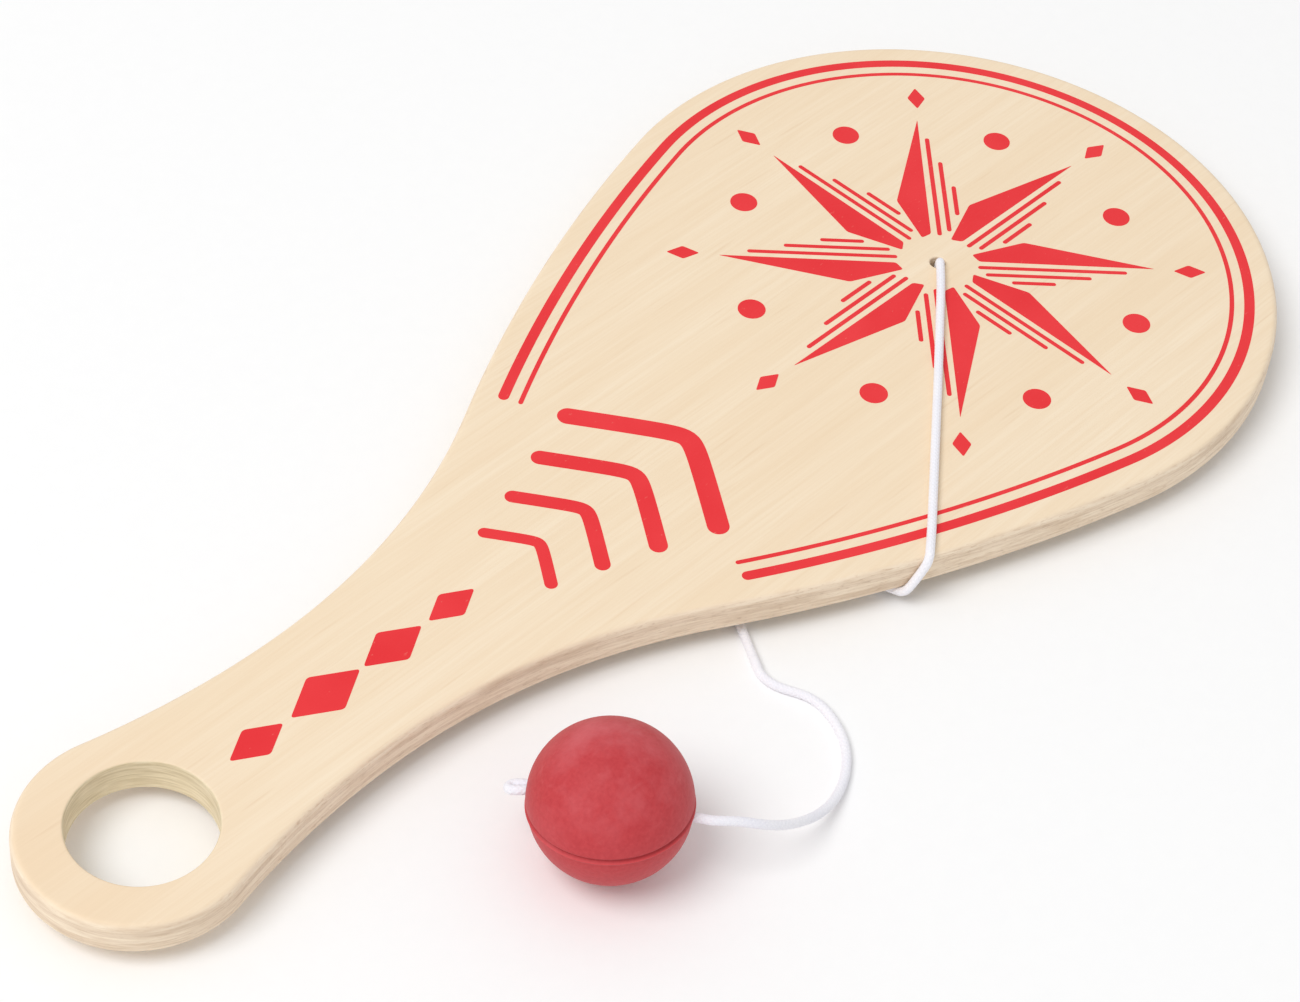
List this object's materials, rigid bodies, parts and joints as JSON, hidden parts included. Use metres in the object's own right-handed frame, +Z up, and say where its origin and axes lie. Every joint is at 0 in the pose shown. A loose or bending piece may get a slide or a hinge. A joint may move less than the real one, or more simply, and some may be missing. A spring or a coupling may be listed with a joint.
{
  "type": "paddle ball game",
  "caption": "Plywood paddle with a finger hole in its round handle end and a red rubber ball tied to the blade by a white elastic cord.",
  "frame": {"origin": "on the floor under the middle of the paddle", "axes": "+X along the paddle from the handle end to the blade end, +Z up out of the paddle's face"},
  "size_m": [0.27, 0.1296, 0.026],
  "materials": {
    "face_wood": "sanded pale veneer, thin matt lacquer",
    "inner_wood": "sanded plywood edge",
    "elastic": "woven white cover over elastic",
    "ball_rubber": "matt moulded rubber with a dusty bloom"
  },
  "bodies": {
    "paddle": {"face_veneer": "face_wood", "upper_crossband": "inner_wood", "core_ply": "inner_wood", "lower_crossband": "inner_wood", "back_veneer": "face_wood", "stop_knot": "elastic", "cord_on_blade": "elastic"},
    "cord_root": {"cord_under_edge": "elastic"},
    "cord_lead": {"cord_leader": "elastic"},
    "tether": {"cord_free_run": "elastic", "cord_in_ball": "elastic", "end_loop": "elastic"},
    "ball": {"ball": "ball_rubber"}
  },
  "joints": [
    {"name": "tether_swing", "type": "hinge", "parent": "paddle", "child": "cord_root", "pos_m": [-0.0077, -0.0219, 0.0008], "axis": [0, 0, 1], "range_deg": [-12, 25], "deforming": ["cord_under_edge"]},
    {"name": "tether_lift", "type": "hinge", "parent": "cord_root", "child": "cord_lead", "pos_m": [-0.01495, -0.03446, 0.0008], "axis": [-0.866, 0.5, 0], "range_deg": [0, 75], "deforming": ["cord_leader"]},
    {"name": "ball_pull", "type": "slide", "parent": "cord_lead", "child": "tether", "axis": [-0.5, -0.866, 0], "range_m": [0, 0.25], "stiffness_N_per_m": 6, "deforming": ["cord_leader"]},
    {"name": "ball_spin", "type": "hinge", "parent": "tether", "child": "ball", "pos_m": [-0.0625, -0.0472, 0.013], "axis": [0.5446, -0.8387, 0], "continuous": true}
  ]
}
